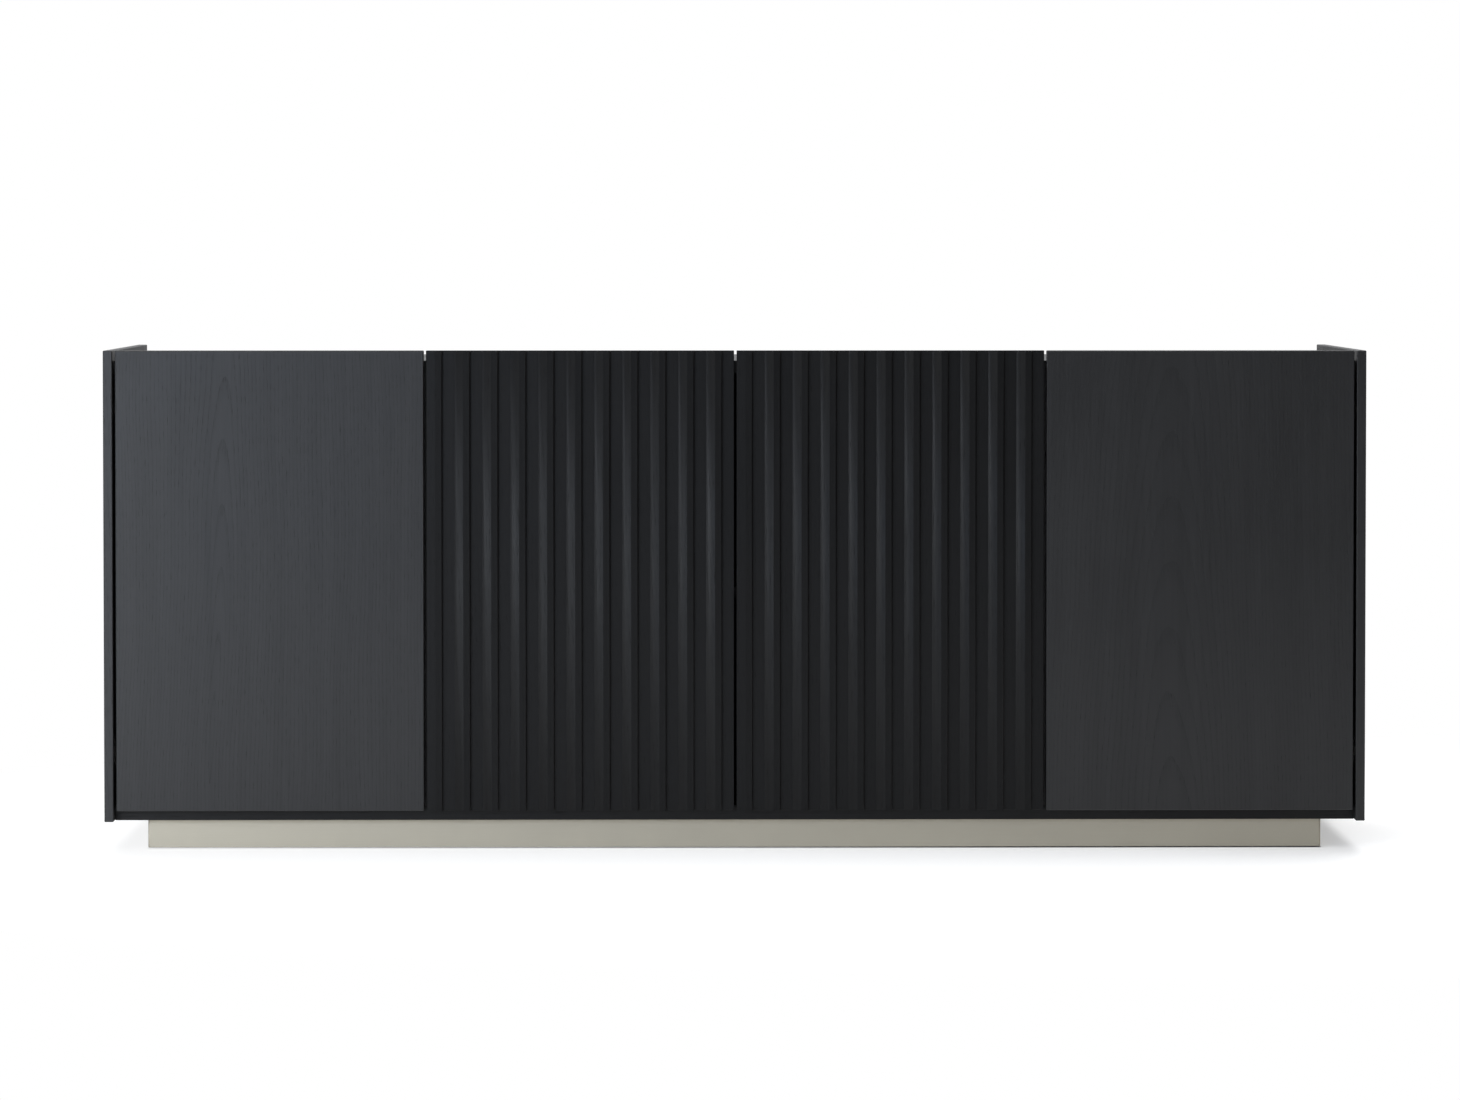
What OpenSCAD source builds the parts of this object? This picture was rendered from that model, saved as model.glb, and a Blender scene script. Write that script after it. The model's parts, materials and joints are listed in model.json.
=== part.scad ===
// Low four-door sideboard in dark stained oak on a recessed metal-clad plinth.
// Millimetres, +Z up. X runs along the front, -Y is the front, the floor is z = 0.
// The origin is the centre of the footprint on the floor.
// The two outer doors are plain. The two centre doors carry upright slats, each with a
// curved nose on its left side.
// The doors and side panels stand above the recessed top, so a door is pulled open
// by the fingers reaching over its top edge.

/* [Overall size] */
// Width over the side panels
body_w = 2200; // [1900:10:2400]
// Depth from the door fronts to the back edges of the side panels
body_d = 500; // [460:5:600]
// Height from the floor to the top edges of the doors and side panels
body_h = 875; // [800:5:900]
// Height of the underside of the carcass above the floor
base_h = 53; // [50:1:70]

/* [Carcass] */
// Thickness of a side panel
side_t = 16; // [15:1:20]
// Thickness of the top panel
top_t = 22; // [20:1:28]
// How far the top panel lies below the top edges of the doors
top_recess = 18; // [12:1:25]
// Thickness of the bottom panel
bottom_t = 25; // [22:1:30]
// Thickness of a partition
partition_t = 18; // [18:1:22]
// Thickness of a back panel
back_t = 8; // [6:1:10]
// Thickness of a shelf
shelf_t = 18; // [16:1:25]
// Height of a shelf's upper face above the floor
shelf_z = 459; // [400:1:520]

/* [Doors] */
// Thickness of a door, slats included
door_t = 22; // [22:0.5:24]
// Height of a door's lower edge above the underside of the carcass
door_lift = 19; // [16:1:20]
// Gap between an outer door and its side panel
side_gap = 5; // [5:0.5:7]
// Gap between two doors
door_gap = 4.5; // [4.5:0.5:6]
// Space between the backs of the doors and the carcass
door_clear = 4.5; // [4.5:0.5:6]
// Eased edge on doors and panels
arris = 1.2; // [1.2:0.1:1.5]

/* [Slats] */
// Number of slats on each centre door
slat_count = 11; // [9:1:11]
// Height of a slat above the door core
slat_h = 6; // [5:0.5:6]
// Width of a slat
slat_w = 28; // [26:0.5:30]
// Width of the curved nose on a slat's left side
nose_w = 15.5; // [14:0.5:18]
// Height of the square foot below the nose
nose_foot = 0.8; // [0.5:0.1:1.5]
// Slope of the nose where it meets the crown
crest_angle = 10; // [6:1:10]
// Fall of the crown from the nose to the right-hand edge
crown_fall = 0.8; // [0.4:0.1:1]
// Radius of the right-hand edge of a slat
slat_edge_r = 2.5; // [1.5:0.5:3]

/* [Plinth] */
// Inset of the plinth from each side of the body
plinth_side_inset = 70; // [40:5:100]
// Inset of the plinth from the door fronts
plinth_front_inset = 50; // [40:5:80]
// Inset of the plinth from the back edges of the side panels
plinth_back_inset = 20; // [10:5:60]
// Shadow gap between the plinth cover and the floor
floor_gap = 2; // [1:0.5:4]
// Thickness of the metal plinth cover
cover_t = 1.5; // [1:0.5:2]
// Outer bend radius at the corners of the cover
cover_r = 4; // [3:0.5:6]
// Thickness of a plinth rail
rail_t = 18; // [16:1:20]

/* [Hinges] */
// Distance of a hinge from the door's upper and lower edges
hinge_end = 100; // [80:5:140]
// Distance of the hinge pin from the door's hinge edge
pin_u = 9.5; // [9.5:0.1:9.8]
// Distance of the hinge pin behind the door's front face
pin_v = 10.5; // [10.3:0.1:10.6]
// Radius of the hinge pin
pin_r = 1.5; // [1.4:0.1:1.5]

/* [Hidden] */
$fn = 48;
fit = 0.05;

// Colours
oak = [0.20, 0.21, 0.22];
ribbed_oak = [0.13, 0.13, 0.14];
inner_oak = [0.16, 0.16, 0.17];
board = [0.11, 0.11, 0.12];
brushed = [0.68, 0.68, 0.66];
nickel = [0.72, 0.71, 0.69];
zinc = [0.55, 0.56, 0.58];
beech = [0.80, 0.64, 0.45];
rubber = [0.08, 0.08, 0.08];

// Main planes
front_y = -body_d / 2;
back_y = body_d / 2;
inner_x = body_w / 2 - side_t;
carcass_y = front_y + door_t + door_clear;
back_face_setback = 2;
panel_back_y = back_y - back_face_setback - back_t;
top_z = body_h - top_recess;
top_under_z = top_z - top_t;
bottom_top_z = base_h + bottom_t;

// Doors are numbered 0 to 3 from left to right. Doors 0 and 1 hang on their left edges.
door_count = 4;
door_z = base_h + door_lift;
door_h = body_h - door_z;
door_w = (2 * inner_x - 2 * side_gap - (door_count - 1) * door_gap) / door_count;
function door_x(i) = -inner_x + side_gap + i * (door_w + door_gap);
function hangs_left(i) = i < 2;
function hinge_x(i) = hangs_left(i) ? door_x(i) : door_x(i) + door_w;
function free_x(i) = hangs_left(i) ? door_x(i) + door_w : door_x(i);
function inward(i) = hangs_left(i) ? 1 : -1;

// Partitions stand behind the gaps between the outer and the centre doors.
partition_x = door_w + door_gap;

// Shelf pins, in two columns of three holes on each wall of a compartment
shelf_front_y = carcass_y + 25;
shelf_gap = 2;
shelf_pin_r = 2.5;
shelf_pin_in = 8;
shelf_pin_out = 9;
shelf_collar_r = 4;
shelf_collar_t = 1.5;
shelf_hole_step = 64;
shelf_pin_z = shelf_z - shelf_t - shelf_pin_r - fit;
shelf_pin_ys = [shelf_front_y + 45, panel_back_y - 60];

// Cam fittings and dowels that join the panels
cam_ys = [carcass_y + 80, panel_back_y - 80];
dowel_ys = [carcass_y + 130, panel_back_y - 130];
bolt_r = 3.5;
bolt_in = 10;
cam_r = 7.5;
cam_depth = 13;
cam_centre = 34;
bolt_reach = cam_centre - cam_r - 0.2;
dowel_r = 4;
dowel_in = 10;
dowel_out = 20;

// Plinth
plinth_x = body_w / 2 - plinth_side_inset;
plinth_front_y = front_y + plinth_front_inset;
plinth_back_y = back_y - plinth_back_inset;
rail_z = floor_gap + 2;
rail_x = plinth_x - cover_t;
rail_front_y = plinth_front_y + cover_t;
block_size = 40;
block_z = 12;
leveller_xs = [-1, 0, 1];
pad_r = 14;
pad_h = 6;
stem_r = 5;
stem_top = 46;
plinth_screw_r = 2;
plinth_screw_head_r = 4;
plinth_screw_head_z = 30;
plinth_screw_head_t = 3;
plinth_screw_bite = 15;
plinth_screw_offset = 12;

// Back panel screws
back_screw_r = 1.6;
back_screw_head_r = 3.2;
back_screw_head_t = 1.4;
back_screw_bite = 16;
back_screw_seam = 4.5;
back_screw_zs = [base_h + 100, (base_h + top_z) / 2, top_under_z - 90];

// Slats. The nose is an arc from the top of its foot to the crown.
slat_pitch = door_w / slat_count;
nose_rise = slat_h - nose_foot;
nose_slope = atan2(nose_rise, nose_w);
nose_r = norm([nose_w, nose_rise]) / (2 * sin(nose_slope - crest_angle));
nose_centre = [nose_w + nose_r * sin(crest_angle), slat_h - nose_r * cos(crest_angle)];
crown_slope = atan2(crown_fall, slat_w - nose_w);
edge_x = slat_w - slat_edge_r;
edge_z = slat_h - (edge_x - nose_w) * tan(crown_slope) - slat_edge_r / cos(crown_slope);

// Concealed hinge. u runs from the door's hinge edge along the door, v from its front
// face towards the back, and the hinge is centred on z = 0.
hinge_zs = [door_z + hinge_end, body_h - hinge_end];
cup_r = 17.5;
cup_u = 22.5;
cup_depth = 13.5;
cup_wall = 1;
cup_front_v = door_t - cup_depth;
flange_t = 1.2;
flange_r = 18.9;
wing_u0 = cup_u - 3;
wing_u1 = cup_u + 16;
wing_half = 29;
cup_screw_u = cup_u + 9.5;
cup_screw_w = 22.5;
cup_screw_r = 1.75;
cup_screw_head_r = 3.5;
cup_screw_head_t = 1.8;
cup_screw_bite = 10;
eye_r = 2.8;
arm_half_w = 4;
slot_half_w = 4.5;
slot_front_v = 7.4;
slot_u = pin_u + eye_r + 0.5;
ear_outer_w = 9;
ear_half_u = 3.3;
ear_back_v = pin_v + 3;
shank_half_u = 1.5;
elbow_v = door_t + 6.5;
elbow_t = 3;
plate_t = 3;
arm_h = 8;
arm_wall = 1.5;
arm_body_half_w = 7.5;
arm_end_v = 84;
plate_v0 = 46;
plate_v1 = 86;
plate_half_w = 9;
wing_v0 = 57;
wing_v1 = 70;
plate_wing_half = 23;
ridge_h = 4.5;
ridge_half_w = 5.8;
plate_screw_v = 63.5;
plate_screw_w = 16;
plate_screw_r = 2.5;
plate_screw_head_r = 4;
plate_screw_head_t = 2;
plate_screw_bite = 10;
arm_screw_vs = [42, 75];
arm_screw_r = 1.8;
arm_screw_head_r = 3.2;
arm_screw_head_t = 1.6;
// Position of the plates' mounting face in u, on the side panels and on the partitions
outer_face_u = -side_gap;
inner_face_u = (partition_t - door_gap) / 2;
function face_u(i) = (i == 0 || i == door_count - 1) ? outer_face_u : inner_face_u;

// Door bumpers
bumper_r = 2.8;
bumper_h = door_clear - 0.2;
bumper_inset = 40;
bumper_zs = [door_z + bumper_r + 0.3, top_z - top_t / 2];

// ---------- shared shapes ----------

// A plain block between two opposite corners
module block(lo, hi) {
    translate(lo) cube(hi - lo);
}

function eased_outline(w, h, c) =
    [[c, 0], [w - c, 0], [w, c], [w, h - c], [w - c, h], [c, h], [0, h - c], [0, c]];

// A block between two opposite corners with every edge eased
module eased_block(lo, hi, c) {
    s = hi - lo;
    translate(lo) intersection() {
        linear_extrude(height = s[2]) polygon(eased_outline(s[0], s[1], c));
        translate([0, s[1], 0]) rotate([90, 0, 0])
            linear_extrude(height = s[1]) polygon(eased_outline(s[0], s[2], c));
        rotate([90, 0, 90]) linear_extrude(height = s[0])
            polygon(eased_outline(s[1], s[2], c));
    }
}

// A cylinder along +X
module rod_x(r, x0, x1) {
    translate([x0, 0, 0]) rotate([0, 90, 0]) cylinder(h = x1 - x0, r = r);
}

// A cylinder along +Y
module rod_y(r, y0, y1) {
    translate([0, y0, 0]) rotate([-90, 0, 0]) cylinder(h = y1 - y0, r = r);
}

// ---------- panel joints ----------
// In the joint frame x = 0 is the face where two panels meet and +X runs into the
// panel that holds the cam, whose thickness is t. The cam opens on its -Z face.

module cam_bolt(extra = 0) {
    rod_x(bolt_r + extra, -bolt_in - extra, bolt_reach + extra);
}

module cam_lock(t, extra = 0) {
    translate([cam_centre, 0, -t / 2 - extra])
        cylinder(h = cam_depth + 2 * extra, r = cam_r + extra);
}

module dowel(extra = 0) {
    rod_x(dowel_r + extra, -dowel_in - extra, dowel_out + extra);
}

module side_joint(side, ys, z) {
    for (y = ys)
        translate([side * inner_x, y, z]) rotate([0, 0, side > 0 ? 180 : 0]) children();
}

module partition_joint(side, ys, z, upward) {
    for (y = ys)
        translate([side * partition_x, y, z]) mirror([side > 0 ? 1 : 0, 0, 0])
            rotate([0, upward ? -90 : 90, 0]) rotate([upward ? 180 : 0, 0, 0]) children();
}

top_mid_z = top_z - top_t / 2;
bottom_mid_z = base_h + bottom_t / 2;

module side_joint_holes(side, z, t) {
    side_joint(side, cam_ys, z) cam_bolt(fit);
    side_joint(side, cam_ys, z) cam_lock(t, fit);
    side_joint(side, dowel_ys, z) dowel(fit);
}

module partition_joint_holes(side, z, upward) {
    partition_joint(side, cam_ys, z, upward) cam_bolt(fit);
    partition_joint(side, cam_ys, z, upward) cam_lock(partition_t, fit);
    partition_joint(side, dowel_ys, z, upward) dowel(fit);
}

// ---------- shelf pins ----------

// One pin at the origin, pointing along +X out of a wall
module shelf_pin() {
    rod_x(shelf_pin_r, -shelf_pin_in, shelf_pin_out);
    rod_x(shelf_collar_r, 0, shelf_collar_t);
}

// Places a child on the wall at x, which faces the direction given by dir
module on_wall(x, dir, zs) {
    for (y = shelf_pin_ys, z = zs)
        translate([x, y, z]) mirror([dir < 0 ? 1 : 0, 0, 0]) children();
}

module shelf_pin_holes(x, dir) {
    on_wall(x, dir, [for (k = [-1:1]) shelf_pin_z + k * shelf_hole_step])
        rod_x(shelf_pin_r + fit, -shelf_pin_in - fit, 1);
}

// Both walls of the compartment between x0 and x1
module pins_between(x0, x1) {
    on_wall(x0, 1, [shelf_pin_z]) shelf_pin();
    on_wall(x1, -1, [shelf_pin_z]) shelf_pin();
}

// ---------- concealed hinges ----------

// Places a child at both hinges of door i
module at_hinges(i) {
    for (z = hinge_zs)
        translate([hinge_x(i), front_y, z]) mirror([hangs_left(i) ? 0 : 1, 0, 0]) children();
}

module pin_bore(half_w) {
    translate([pin_u, pin_v, -half_w]) cylinder(h = 2 * half_w, r = pin_r + fit);
}

// The space that the arm sweeps inside the door
module arm_slot() {
    block([-1, slot_front_v, -slot_half_w], [slot_u, door_t + 2, slot_half_w]);
}

module at_cup_screws() {
    for (w = [-cup_screw_w, cup_screw_w]) translate([cup_screw_u, 0, w]) children();
}

// What the hinge takes out of a door
module door_hinge_cut() {
    translate([cup_u, 0, 0]) rod_y(cup_r, cup_front_v, door_t + 1);
    arm_slot();
    at_cup_screws() rod_y(cup_screw_r + fit, door_t - cup_screw_bite - fit, door_t + 1);
}

module hinge_cup() {
    difference() {
        union() {
            translate([cup_u, 0, 0]) rod_y(cup_r - fit, cup_front_v + fit, door_t);
            translate([cup_u, 0, 0]) rod_y(flange_r, door_t, door_t + flange_t);
            block([wing_u0, door_t, -wing_half], [wing_u1, door_t + flange_t, wing_half]);
        }
        difference() {
            translate([cup_u, 0, 0])
                rod_y(cup_r - cup_wall, cup_front_v + cup_wall, door_t + flange_t + 1);
            for (s = [0, 1]) mirror([0, 0, s])
                block([pin_u - ear_half_u, cup_front_v, slot_half_w],
                    [pin_u + ear_half_u, ear_back_v, ear_outer_w]);
        }
        arm_slot();
        pin_bore(ear_outer_w + 1);
        at_cup_screws() rod_y(cup_screw_r + fit, door_t - 1, door_t + flange_t + 1);
    }
}

module hinge_pin() {
    translate([pin_u, pin_v, -ear_outer_w]) cylinder(h = 2 * ear_outer_w, r = pin_r);
}

module cup_screw_pair() {
    at_cup_screws() {
        rod_y(cup_screw_r, door_t - cup_screw_bite, door_t + flange_t);
        rod_y(cup_screw_head_r, door_t + flange_t, door_t + flange_t + cup_screw_head_t);
    }
}

// The arm on a mounting face at u = face
module hinge_arm(face) {
    low = face + plate_t;
    high = low + arm_h;
    difference() {
        union() {
            translate([pin_u, pin_v, -arm_half_w]) cylinder(h = 2 * arm_half_w, r = eye_r);
            block([pin_u - shank_half_u, pin_v, -arm_half_w],
                [pin_u + shank_half_u, elbow_v + elbow_t, arm_half_w]);
            block([min(low, pin_u - shank_half_u), elbow_v, -arm_half_w],
                [max(high, pin_u + shank_half_u), elbow_v + elbow_t, arm_half_w]);
            block([low, elbow_v + elbow_t, -arm_body_half_w],
                [high, arm_end_v, arm_body_half_w]);
        }
        pin_bore(arm_half_w + 1);
        block([low - 1, elbow_v + elbow_t + arm_wall, -arm_body_half_w + arm_wall],
            [high - arm_wall, arm_end_v + 1, arm_body_half_w - arm_wall]);
        for (v = arm_screw_vs)
            translate([0, v, 0]) rod_x(arm_screw_r + fit, high - 2 * arm_wall, high + 1);
    }
}

module arm_screw_pair(face) {
    high = face + plate_t + arm_h;
    for (v = arm_screw_vs) translate([0, v, 0]) {
        rod_x(arm_screw_r, high - 2 * arm_wall, high);
        rod_x(arm_screw_head_r, high, high + arm_screw_head_t);
    }
}

module at_plate_screws() {
    for (w = [-plate_screw_w, plate_screw_w]) translate([0, plate_screw_v, w]) children();
}

module hinge_plate(face) {
    difference() {
        union() {
            block([face, plate_v0, -plate_half_w], [face + plate_t, plate_v1, plate_half_w]);
            block([face, wing_v0, -plate_wing_half],
                [face + plate_t, wing_v1, plate_wing_half]);
            block([face + plate_t, plate_v0 + 2, -ridge_half_w],
                [face + plate_t + ridge_h, arm_end_v - 2, ridge_half_w]);
        }
        at_plate_screws() rod_x(plate_screw_r + fit, face - 1, face + plate_t + 1);
    }
}

module plate_screw_pair(face) {
    at_plate_screws() {
        rod_x(plate_screw_r, face - plate_screw_bite, face + plate_t);
        rod_x(plate_screw_head_r, face + plate_t, face + plate_t + plate_screw_head_t);
    }
}

// What the plate's screws take out of the panel that door i hangs on
module plate_screw_holes(i) {
    at_hinges(i) at_plate_screws()
        rod_x(plate_screw_r + fit, face_u(i) - plate_screw_bite - fit, face_u(i) + 1);
}

// ---------- carcass ----------

module side_panel(side) {
    x = side * inner_x;
    difference() {
        eased_block([min(x, x + side * side_t), front_y, base_h],
            [max(x, x + side * side_t), back_y, body_h], arris);
        side_joint_holes(side, top_mid_z, top_t);
        side_joint_holes(side, bottom_mid_z, bottom_t);
        shelf_pin_holes(x, -side);
        plate_screw_holes(side < 0 ? 0 : door_count - 1);
    }
}

module side_panel_left() {
    color(oak) side_panel(-1);
}

module side_panel_right() {
    color(oak) side_panel(1);
}

module top_panel() {
    color(oak) difference() {
        block([-inner_x, carcass_y, top_under_z], [inner_x, back_y, top_z]);
        for (side = [-1, 1]) {
            side_joint_holes(side, top_mid_z, top_t);
            partition_joint_holes(side, top_under_z, false);
        }
    }
}

module bottom_panel() {
    color(oak) difference() {
        block([-inner_x, carcass_y, base_h], [inner_x, panel_back_y, bottom_top_z]);
        for (side = [-1, 1]) {
            side_joint_holes(side, bottom_mid_z, bottom_t);
            partition_joint_holes(side, bottom_top_z, true);
        }
        at_plinth_screws() translate([0, 0, base_h - 1])
            cylinder(h = plinth_screw_bite + 1 + fit, r = plinth_screw_r + fit);
        at_back_screws() rod_y(back_screw_r + fit, -back_screw_bite - fit, 1);
    }
}

module partition(side) {
    x = side * partition_x;
    difference() {
        block([x - partition_t / 2, carcass_y, bottom_top_z],
            [x + partition_t / 2, panel_back_y, top_under_z]);
        partition_joint_holes(side, top_under_z, false);
        partition_joint_holes(side, bottom_top_z, true);
        for (dir = [-1, 1]) shelf_pin_holes(x + dir * partition_t / 2, dir);
        plate_screw_holes(side < 0 ? 1 : 2);
        at_back_screws() rod_y(back_screw_r + fit, -back_screw_bite - fit, 1);
    }
}

module partition_left() {
    color(inner_oak) partition(-1);
}

module partition_right() {
    color(inner_oak) partition(1);
}

// Screws that hold the back panels, in the seams over the partitions and along the bottom
module at_back_screws() {
    for (side = [-1, 1], seam = [-1, 1], z = back_screw_zs)
        translate([side * partition_x + seam * back_screw_seam, panel_back_y, z]) children();
    for (bay = [-1:1], k = [-1:1])
        translate([bay * 2 * partition_x * 0.75 + k * partition_x * 0.4, panel_back_y,
            bottom_mid_z]) children();
}

module back_panel(x0, x1) {
    difference() {
        block([x0, panel_back_y, base_h + 2], [x1, panel_back_y + back_t, top_under_z]);
        at_back_screws() rod_y(back_screw_r + fit, -1, back_t + 1);
    }
}

module back_panel_left() {
    color(board) back_panel(-inner_x, -partition_x);
}

module back_panel_centre() {
    color(board) back_panel(-partition_x, partition_x);
}

module back_panel_right() {
    color(board) back_panel(partition_x, inner_x);
}

module shelf(x0, x1) {
    block([x0 + shelf_gap, shelf_front_y, shelf_z - shelf_t],
        [x1 - shelf_gap, panel_back_y - 5, shelf_z]);
}

module shelf_left() {
    color(inner_oak) shelf(-inner_x, -partition_x - partition_t / 2);
}

module shelf_centre() {
    color(inner_oak) shelf(-partition_x + partition_t / 2, partition_x - partition_t / 2);
}

module shelf_right() {
    color(inner_oak) shelf(partition_x + partition_t / 2, inner_x);
}

module shelf_pins() {
    color(nickel) {
        pins_between(-inner_x, -partition_x - partition_t / 2);
        pins_between(-partition_x + partition_t / 2, partition_x - partition_t / 2);
        pins_between(partition_x + partition_t / 2, inner_x);
    }
}

module cam_bolts() {
    color(zinc) for (side = [-1, 1]) {
        side_joint(side, cam_ys, top_mid_z) cam_bolt();
        side_joint(side, cam_ys, bottom_mid_z) cam_bolt();
        partition_joint(side, cam_ys, top_under_z, false) cam_bolt();
        partition_joint(side, cam_ys, bottom_top_z, true) cam_bolt();
    }
}

module cam_locks() {
    color(zinc) for (side = [-1, 1]) {
        side_joint(side, cam_ys, top_mid_z) cam_lock(top_t);
        side_joint(side, cam_ys, bottom_mid_z) cam_lock(bottom_t);
        partition_joint(side, cam_ys, top_under_z, false) cam_lock(partition_t);
        partition_joint(side, cam_ys, bottom_top_z, true) cam_lock(partition_t);
    }
}

module dowels() {
    color(beech) for (side = [-1, 1]) {
        side_joint(side, dowel_ys, top_mid_z) dowel();
        side_joint(side, dowel_ys, bottom_mid_z) dowel();
        partition_joint(side, dowel_ys, top_under_z, false) dowel();
        partition_joint(side, dowel_ys, bottom_top_z, true) dowel();
    }
}

module back_panel_screws() {
    color(zinc) at_back_screws() {
        rod_y(back_screw_r, -back_screw_bite, back_t);
        rod_y(back_screw_head_r, back_t, back_t + back_screw_head_t);
    }
}

// ---------- plinth ----------

module plinth_rail_front() {
    color(board) block([-rail_x, rail_front_y, rail_z], [rail_x, rail_front_y + rail_t, base_h]);
}

module plinth_rail_back() {
    color(board) block([-rail_x, plinth_back_y - rail_t, rail_z],
        [rail_x, plinth_back_y, base_h]);
}

module plinth_rail_side(side) {
    x = side * (rail_x - rail_t / 2);
    block([x - rail_t / 2, rail_front_y + rail_t, rail_z],
        [x + rail_t / 2, plinth_back_y - rail_t, base_h]);
}

module plinth_rail_left() {
    color(board) plinth_rail_side(-1);
}

module plinth_rail_right() {
    color(board) plinth_rail_side(1);
}

module plinth_cross_rails() {
    color(board) for (side = [-1, 1])
        block([side * partition_x - rail_t / 2, rail_front_y + rail_t, rail_z],
            [side * partition_x + rail_t / 2, plinth_back_y - rail_t, base_h]);
}

// Plan outline of the cover, grown outwards from the rails by t, with front corners of radius r
module cover_plan(t, r) {
    x = rail_x + t;
    y = rail_front_y - t;
    for (side = [-1, 1]) translate([side * (x - r), y + r]) circle(r);
    translate([-x, y + r]) square([2 * x, plinth_back_y - y - r]);
    translate([-x + r, y]) square([2 * (x - r), plinth_back_y - y]);
}

// One folded sheet across the front and along both sides. The bend is thinnest over the
// square corners of the rails.
module plinth_cover() {
    color(brushed) translate([0, 0, floor_gap]) linear_extrude(height = base_h - floor_gap)
        difference() {
            cover_plan(cover_t, cover_r);
            translate([-rail_x, rail_front_y]) square([2 * rail_x, body_d]);
        }
}

module at_blocks() {
    for (k = leveller_xs, y = [rail_front_y + rail_t + block_size / 2,
            plinth_back_y - rail_t - block_size / 2])
        translate([k * (rail_x - rail_t - block_size / 2), y, 0]) children();
}

module at_plinth_screws() {
    at_blocks() for (s = [-1, 1])
        translate([s * plinth_screw_offset, plinth_screw_offset, 0]) children();
}

module plinth_blocks() {
    color(beech) difference() {
        at_blocks() block([-block_size / 2, -block_size / 2, block_z],
            [block_size / 2, block_size / 2, base_h]);
        at_blocks() translate([0, 0, block_z - 1])
            cylinder(h = stem_top + 1 - block_z + fit, r = stem_r + fit);
        at_plinth_screws() translate([0, 0, block_z - 1]) {
            cylinder(h = plinth_screw_head_z + plinth_screw_head_t - block_z + 1,
                r = plinth_screw_head_r + fit);
            cylinder(h = base_h, r = plinth_screw_r + fit);
        }
    }
}

module plinth_screws() {
    color(zinc) at_plinth_screws() translate([0, 0, plinth_screw_head_z]) {
        cylinder(h = plinth_screw_head_t, r = plinth_screw_head_r);
        cylinder(h = base_h + plinth_screw_bite - plinth_screw_head_z, r = plinth_screw_r);
    }
}

module leveller_stems() {
    color(zinc) at_blocks() translate([0, 0, pad_h]) cylinder(h = stem_top - pad_h, r = stem_r);
}

module leveller_pads() {
    color(rubber) at_blocks() cylinder(h = pad_h, r = pad_r);
}

// ---------- hinge hardware on the carcass ----------

module hinge_plates() {
    color(nickel) for (i = [0:door_count - 1]) at_hinges(i) hinge_plate(face_u(i));
}

module hinge_plate_screws() {
    color(nickel) for (i = [0:door_count - 1]) at_hinges(i) plate_screw_pair(face_u(i));
}

module hinge_arms_outer() {
    color(nickel) for (i = [0, 3]) at_hinges(i) hinge_arm(outer_face_u);
}

module hinge_arms_inner() {
    color(nickel) for (i = [1, 2]) at_hinges(i) hinge_arm(inner_face_u);
}

module hinge_arm_screws() {
    color(nickel) for (i = [0:door_count - 1]) at_hinges(i) arm_screw_pair(face_u(i));
}

// ---------- doors ----------

// A door panel whose front face stands back by setback from the front plane
module door_panel(i, setback) {
    difference() {
        eased_block([door_x(i), front_y + setback, door_z],
            [door_x(i) + door_w, front_y + door_t, body_h], setback > 0 ? arris / 2 : arris);
        at_hinges(i) door_hinge_cut();
    }
}

module door_left() {
    color(oak) door_panel(0, 0);
}

module door_centre_left() {
    color(ribbed_oak) door_panel(1, slat_h);
}

module door_centre_right() {
    color(ribbed_oak) door_panel(2, slat_h);
}

module door_right() {
    color(oak) door_panel(3, 0);
}

// Back, right-hand edge and crown of a slat in plan, closed by the points of its left side
module slat_body(left_points) {
    polygon(concat([[0, 0], [slat_w, 0], [slat_w, edge_z],
        [edge_x + slat_edge_r * sin(crown_slope), edge_z + slat_edge_r * cos(crown_slope)],
        [nose_w, slat_h]], left_points));
    intersection() {
        square([slat_w, slat_h]);
        translate([edge_x, edge_z]) circle(slat_edge_r);
    }
}

// Slat in plan: a curved nose on the left, a crown that falls slightly to the right
module slat_outline() {
    intersection() {
        slat_body([[0, slat_h]]);
        union() {
            translate(nose_centre) circle(nose_r, $fn = 96);
            translate([nose_w, 0]) square([slat_w - nose_w, slat_h]);
        }
    }
}

// The first slat is square on the left, where it closes the door's edge
module first_slat_outline() {
    slat_body([[arris, slat_h], [0, slat_h - arris]]);
}

module slats(i) {
    for (k = [0:slat_count - 1])
        translate([door_x(i) + k * slat_pitch, front_y + slat_h, door_z]) mirror([0, 1, 0])
            linear_extrude(height = door_h) {
                if (k == 0) first_slat_outline();
                if (k > 0) slat_outline();
            }
}

module slats_centre_left() {
    color(ribbed_oak) slats(1);
}

module slats_centre_right() {
    color(ribbed_oak) slats(2);
}

module hinge_cups_left() {
    color(nickel) at_hinges(0) hinge_cup();
}

module hinge_cups_centre_left() {
    color(nickel) at_hinges(1) hinge_cup();
}

module hinge_cups_centre_right() {
    color(nickel) at_hinges(2) hinge_cup();
}

module hinge_cups_right() {
    color(nickel) at_hinges(3) hinge_cup();
}

module hinge_pins_left() {
    color(zinc) at_hinges(0) hinge_pin();
}

module hinge_pins_centre_left() {
    color(zinc) at_hinges(1) hinge_pin();
}

module hinge_pins_centre_right() {
    color(zinc) at_hinges(2) hinge_pin();
}

module hinge_pins_right() {
    color(zinc) at_hinges(3) hinge_pin();
}

module cup_screws_left() {
    color(zinc) at_hinges(0) cup_screw_pair();
}

module cup_screws_centre_left() {
    color(zinc) at_hinges(1) cup_screw_pair();
}

module cup_screws_centre_right() {
    color(zinc) at_hinges(2) cup_screw_pair();
}

module cup_screws_right() {
    color(zinc) at_hinges(3) cup_screw_pair();
}

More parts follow.
